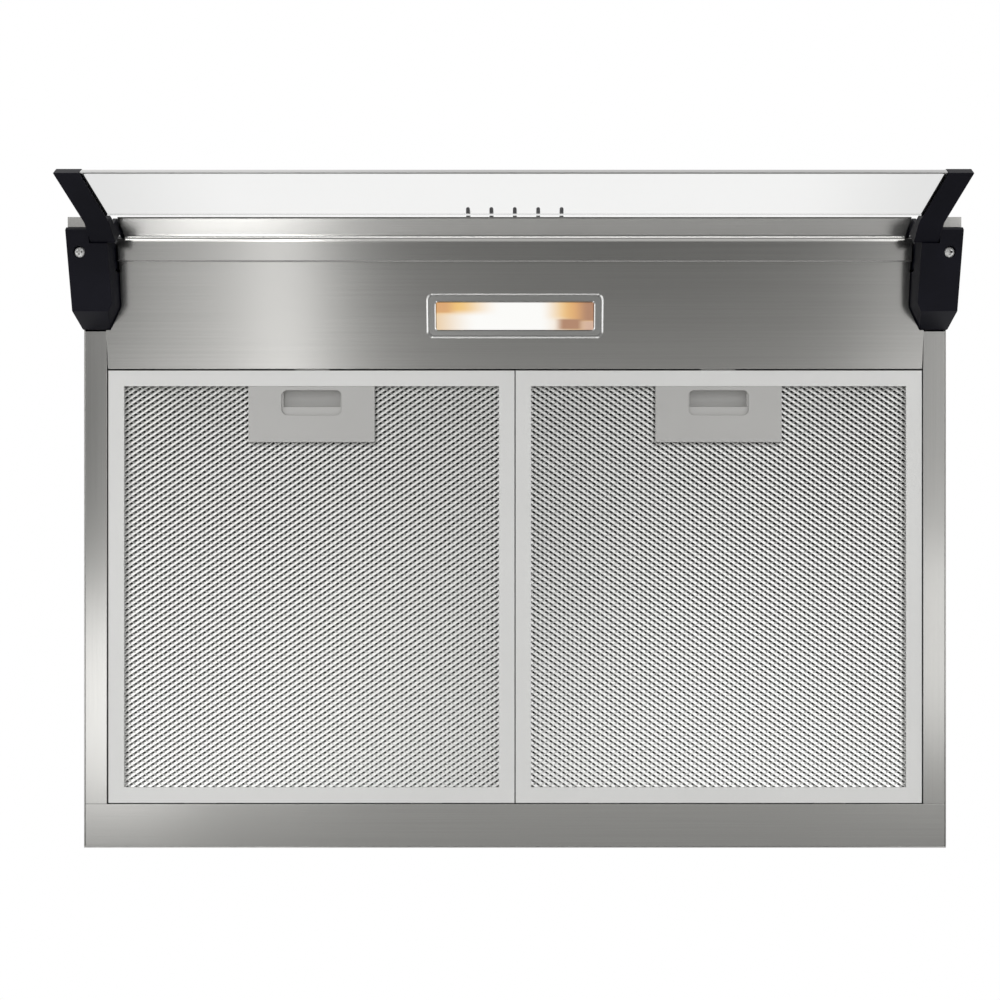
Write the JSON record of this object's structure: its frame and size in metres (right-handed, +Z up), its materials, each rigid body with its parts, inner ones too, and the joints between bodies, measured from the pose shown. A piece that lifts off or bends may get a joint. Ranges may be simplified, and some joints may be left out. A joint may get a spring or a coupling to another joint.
{
  "type": "under cabinet range hood",
  "caption": "Under cabinet range hood in brushed steel with a folding glass visor, push buttons, a lamp and grease filters.",
  "frame": {"origin": "centre of the four cabinet screw holes, on the outer face of the top panel", "axes": "+X to the right of a person facing the hood, -Y to the front, +Z up"},
  "size_m": [0.6, 0.4546, 0.2311],
  "materials": {
    "brushed_steel_sheet": "brushed",
    "inner_steel": "satin",
    "filter_aluminium": "satin",
    "mesh_aluminium": "satin",
    "latch_steel": "satin",
    "black_plastic": "satin",
    "button_plastic": "gloss",
    "grey_plastic": "matte",
    "visor_glass": "clear",
    "trim_aluminium": "satin",
    "lamp_glass": "frosted",
    "bulb_glass": "frosted",
    "lamp_ceramic": "matte",
    "bezel_steel": "satin",
    "screw_steel": "polished"
  },
  "bodies": {
    "hood": {"cable_gland": "black_plastic", "capacitor_box": "grey_plastic", "collar_flange": "black_plastic", "collar_screws": "screw_steel", "control_fascia": "brushed_steel_sheet", "damper_pin": "screw_steel", "duct_collar": "black_plastic", "fan_motor": "inner_steel", "filter_ledge": "inner_steel", "front_lip": "brushed_steel_sheet", "front_panel": "brushed_steel_sheet", "hinge_pins": "screw_steel", "hinge_screws": "screw_steel", "lamp_bezel": "bezel_steel", "lamp_bulb": "bulb_glass", "lamp_holder": "lamp_ceramic", "lamp_lens": "lamp_glass", "lamp_reflector": "inner_steel", "left_bottom_rail": "brushed_steel_sheet", "left_corner_gusset": "inner_steel", "left_front_post": "brushed_steel_sheet", "left_hinge_block": "black_plastic", "left_side_panel": "brushed_steel_sheet", "light_panel": "brushed_steel_sheet", "lip_flange": "brushed_steel_sheet", "motor_screws": "screw_steel", "rear_flange": "brushed_steel_sheet", "rear_panel": "brushed_steel_sheet", "right_bottom_rail": "brushed_steel_sheet", "right_corner_gusset": "inner_steel", "right_front_post": "brushed_steel_sheet", "right_hinge_block": "black_plastic", "right_side_panel": "brushed_steel_sheet", "scroll_inlet_plate": "grey_plastic", "scroll_motor_plate": "grey_plastic", "scroll_wall": "grey_plastic", "switch_bank": "black_plastic", "terminal_box": "grey_plastic", "top_panel": "inner_steel"},
    "visor": {"left_visor_arm": "black_plastic", "right_visor_arm": "black_plastic", "visor_glass": "visor_glass", "visor_trim": "trim_aluminium"},
    "off_key": {"off_button": "button_plastic"},
    "low_key": {"low_speed_button": "button_plastic"},
    "middle_key": {"middle_speed_button": "button_plastic"},
    "high_key": {"high_speed_button": "button_plastic"},
    "light_key": {"light_button": "button_plastic"},
    "left_filter": {"left_filter_frame": "filter_aluminium", "left_filter_mesh": "mesh_aluminium", "left_latch_plate": "filter_aluminium"},
    "right_filter": {"right_filter_frame": "filter_aluminium", "right_filter_mesh": "mesh_aluminium", "right_latch_plate": "filter_aluminium"},
    "left_latch": {"left_latch_slider": "latch_steel"},
    "right_latch": {"right_latch_slider": "latch_steel"},
    "fan": {"impeller": "grey_plastic", "fan_shaft": "inner_steel"},
    "front_damper": {"front_damper_flap": "grey_plastic"},
    "rear_damper": {"rear_damper_flap": "grey_plastic"}
  },
  "joints": [
    {"name": "visor_hinge", "type": "hinge", "parent": "hood", "child": "visor", "pos_m": [0, -0.201, -0.128], "axis": [-1, 0, 0], "range_deg": [0, 133]},
    {"name": "off_press", "type": "slide", "parent": "hood", "child": "off_key", "axis": [0, 1, 0], "range_m": [0, 0.003], "stiffness_N_per_m": 150},
    {"name": "low_press", "type": "slide", "parent": "hood", "child": "low_key", "axis": [0, 1, 0], "range_m": [0, 0.003], "stiffness_N_per_m": 150},
    {"name": "middle_press", "type": "slide", "parent": "hood", "child": "middle_key", "axis": [0, 1, 0], "range_m": [0, 0.003], "stiffness_N_per_m": 150},
    {"name": "high_press", "type": "slide", "parent": "hood", "child": "high_key", "axis": [0, 1, 0], "range_m": [0, 0.003], "stiffness_N_per_m": 150},
    {"name": "light_press", "type": "slide", "parent": "hood", "child": "light_key", "axis": [0, 1, 0], "range_m": [0, 0.003], "stiffness_N_per_m": 150},
    {"name": "left_filter_tilt", "type": "hinge", "parent": "hood", "child": "left_filter", "pos_m": [-0.1418, 0.1852, -0.13], "axis": [1, 0, 0], "range_deg": [0, 60]},
    {"name": "left_latch_slide", "type": "slide", "parent": "left_filter", "child": "left_latch", "axis": [0, 1, 0], "range_m": [0, 0.006], "stiffness_N_per_m": 200},
    {"name": "right_filter_tilt", "type": "hinge", "parent": "hood", "child": "right_filter", "pos_m": [0.1418, 0.1852, -0.13], "axis": [1, 0, 0], "range_deg": [0, 60]},
    {"name": "right_latch_slide", "type": "slide", "parent": "right_filter", "child": "right_latch", "axis": [0, 1, 0], "range_m": [0, 0.006], "stiffness_N_per_m": 200},
    {"name": "fan_spin", "type": "hinge", "parent": "hood", "child": "fan", "pos_m": [0, 0.06, -0.05925], "axis": [1, 0, 0], "continuous": true},
    {"name": "front_damper_hinge", "type": "hinge", "parent": "hood", "child": "front_damper", "pos_m": [0, 0.06, 0.009], "axis": [-1, 0, 0], "range_deg": [0, 75]},
    {"name": "rear_damper_hinge", "type": "hinge", "parent": "hood", "child": "rear_damper", "pos_m": [0, 0.06, 0.009], "axis": [1, 0, 0], "range_deg": [0, 75]}
  ]
}
